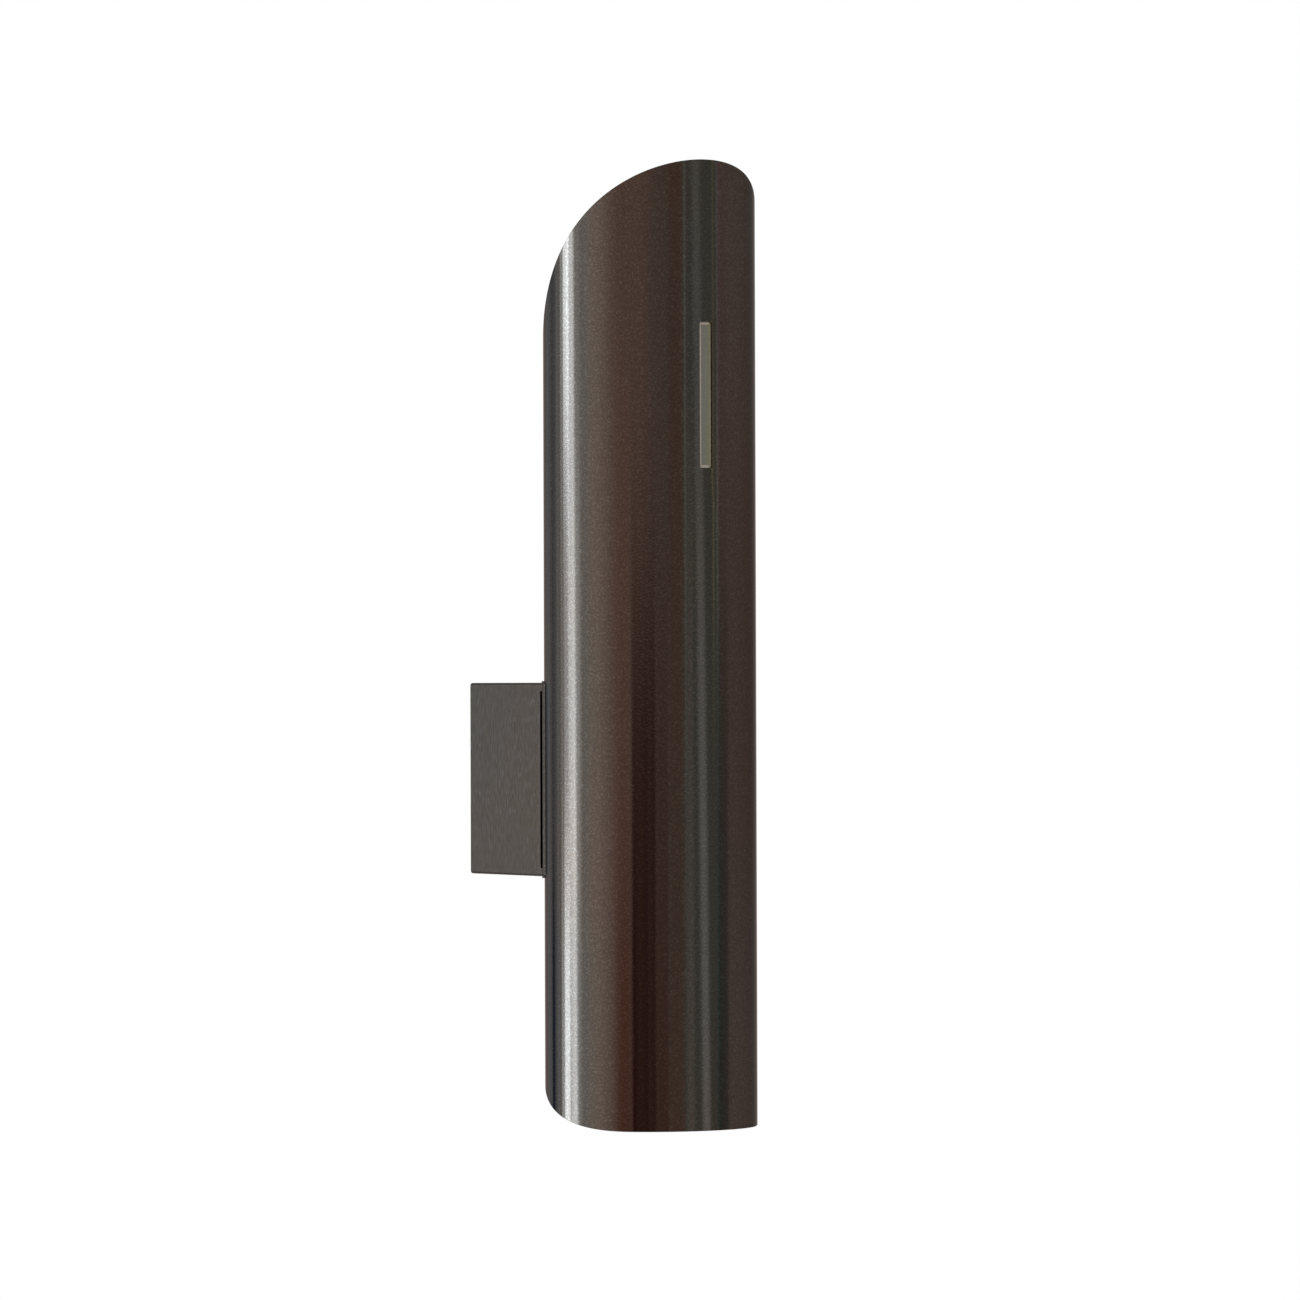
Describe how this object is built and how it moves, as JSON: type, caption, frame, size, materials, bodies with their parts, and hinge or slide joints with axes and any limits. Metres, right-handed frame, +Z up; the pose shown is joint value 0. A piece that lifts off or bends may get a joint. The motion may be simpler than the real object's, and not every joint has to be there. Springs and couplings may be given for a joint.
{
  "type": "wall light",
  "caption": "Upright tube wall light on a square wall box: the tube has curved slanted ends, a lit slot in its front, and shines up and down.",
  "frame": {"origin": "middle of the wall plate's back, on the wall, midway between its two wall slots", "axes": "+Z up along the tube, +Y into the wall, so the tube and its lit slot face -Y; +X to the right of someone who faces the wall"},
  "size_m": [0.0888, 0.1244, 0.402],
  "materials": {
    "tube_finish": "dark bronze-grey coating over hairline brushing that runs round the tube",
    "box_finish": "the same coating, brushed flat",
    "frosted_strip": "frosted, unlit",
    "sheet_steel": "plain sheet",
    "bright_steel": "bright zinc",
    "zinc_plate": "zinc coated sheet",
    "dark_screw": "dark coating",
    "black_rubber": "matt",
    "black_nylon": "satin",
    "terminal_plastic": "satin",
    "brass": "bright",
    "bare_aluminium": "extruded",
    "ceramic": "unglazed",
    "lamp_plastic": "moulded white",
    "lamp_metal": "white paint on die-cast fins",
    "lamp_lens": "frosted"
  },
  "bodies": {
    "fixture": {"tube_shell": "tube_finish", "saddle_plate": "tube_finish", "wall_box": "box_finish", "slot_diffuser": "frosted_strip", "diffuser_retainer": "sheet_steel", "retainer_studs": "bright_steel", "retainer_nuts": "bright_steel", "box_bridge": "sheet_steel", "wall_plate": "zinc_plate", "box_screws": "dark_screw", "entry_grommet": "black_rubber", "cable_bush": "black_nylon", "terminal_block": "terminal_plastic", "terminal_inserts": "brass", "terminal_screws": "bright_steel", "terminal_fixing_screws": "bright_steel", "earth_screw": "brass", "earth_washer": "bright_steel", "clamp_screws": "bright_steel", "clamp_washers": "bright_steel", "clamp_block": "bare_aluminium", "carrier_nuts": "bright_steel", "lamp_carrier": "zinc_plate", "upper_holder": "ceramic", "upper_holder_screws": "bright_steel", "lower_holder": "ceramic", "lower_holder_screws": "bright_steel"},
    "upper_lamp": {"upper_lamp_base": "lamp_plastic", "upper_lamp_housing": "lamp_metal", "upper_lamp_ring": "lamp_plastic", "upper_lamp_lens": "lamp_lens", "upper_lamp_pins": "bright_steel"},
    "lower_lamp": {"lower_lamp_base": "lamp_plastic", "lower_lamp_housing": "lamp_metal", "lower_lamp_ring": "lamp_plastic", "lower_lamp_lens": "lamp_lens", "lower_lamp_pins": "bright_steel"}
  },
  "joints": [
    {"name": "upper_lamp_twist", "type": "hinge", "parent": "fixture", "child": "upper_lamp", "pos_m": [0, -0.08, 0.063], "axis": [0, 0, 1], "range_deg": [0, 22]},
    {"name": "lower_lamp_twist", "type": "hinge", "parent": "fixture", "child": "lower_lamp", "pos_m": [0, -0.08, -0.046], "axis": [0, 0, -1], "range_deg": [0, 22]}
  ]
}
